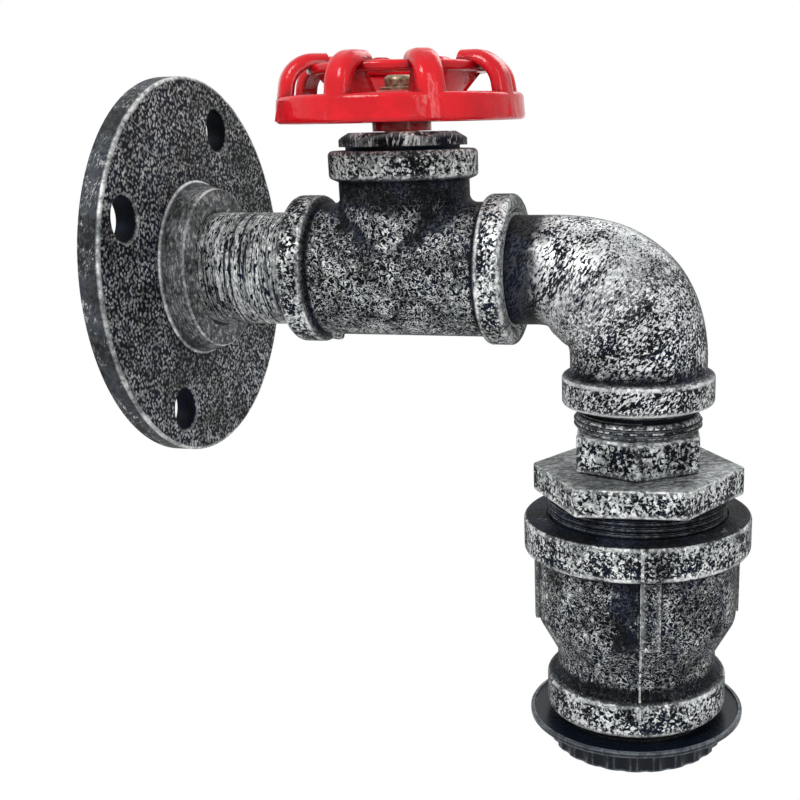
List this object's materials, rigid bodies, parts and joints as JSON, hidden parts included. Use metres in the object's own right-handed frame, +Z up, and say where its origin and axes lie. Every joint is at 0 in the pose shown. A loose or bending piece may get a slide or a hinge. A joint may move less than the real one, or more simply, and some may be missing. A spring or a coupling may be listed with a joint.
{
  "type": "pipe wall light",
  "caption": "Wall light built from iron pipe fittings: round wall flange, tee with a red valve handwheel, elbow down to a bell socket with a lampholder and shade ring.",
  "frame": {"origin": "centre of the wall flange's back face, which lies on the wall", "axes": "+Z up, +Y into the wall, so that the arm leaves the wall along -Y; +X to the right of someone who looks at the wall"},
  "size_m": [0.09, 0.1416, 0.1642],
  "materials": {
    "cast_flange": "coarse cast grain, rubbed silver on dark",
    "pipe_nipple": "turned pipe, rubbed silver on dark",
    "cast_fitting": "cast grain, rubbed silver on blue-black",
    "brushed_fitting": "brushed silver with black pits",
    "worn_steel": "worn silver on black",
    "dark_steel": "black painted steel",
    "nickel_brass": "nickel-plated brass",
    "porcelain": "glazed ceramic",
    "brass": "bare brass",
    "zinc_steel": "zinc-plated steel",
    "spring_steel": "spring wire",
    "brown_insulation": "smooth insulation",
    "blue_insulation": "smooth insulation",
    "green_insulation": "smooth insulation with a yellow stripe",
    "stem_brass": "turned brass",
    "red_enamel": "glossy red enamel",
    "gloss_black": "glossy black"
  },
  "bodies": {
    "fixture": {"contact_block": "porcelain", "contact_spring": "spring_steel", "earth_tag": "brass", "earth_wire": "green_insulation", "hanging_tube": "zinc_steel", "hexagon_bushing": "worn_steel", "hexagon_nipple": "worn_steel", "holder_cap": "dark_steel", "holder_sleeve": "dark_steel", "live_terminal": "brass", "live_wire": "brown_insulation", "neutral_terminal": "brass", "neutral_wire": "blue_insulation", "reducing_socket": "cast_fitting", "screw_shell": "nickel_brass", "shell_rivets": "brass", "stem_bushing": "worn_steel", "street_elbow": "brushed_fitting", "tee": "cast_fitting", "terminal_screws": "zinc_steel", "tube_locknut": "zinc_steel", "tube_nut": "zinc_steel", "tube_washer": "zinc_steel", "wall_flange": "cast_flange", "wall_nipple": "pipe_nipple"},
    "valve_wheel": {"handwheel": "red_enamel", "stem": "stem_brass", "wheel_washer": "zinc_steel", "wheel_screw": "zinc_steel", "stem_washer": "zinc_steel", "stem_nut": "stem_brass"},
    "shade_ring": {"shade_ring": "gloss_black"},
    "centre_contact": {"contact_plunger": "brass", "plunger_clip": "zinc_steel"}
  },
  "joints": [
    {"name": "handwheel_turn", "type": "hinge", "parent": "fixture", "child": "valve_wheel", "pos_m": [0, -0.0593, 0.03], "axis": [0, 0, 1], "continuous": true},
    {"name": "shade_ring_travel", "type": "slide", "parent": "fixture", "child": "shade_ring", "axis": [0, 0, -1], "range_m": [0, 0.012]},
    {"name": "contact_press", "type": "slide", "parent": "fixture", "child": "centre_contact", "axis": [0, 0, 1], "range_m": [0, 0.0018], "stiffness_N_per_m": 800, "springref_m": -0.0008, "deforming": ["contact_spring"]}
  ]
}
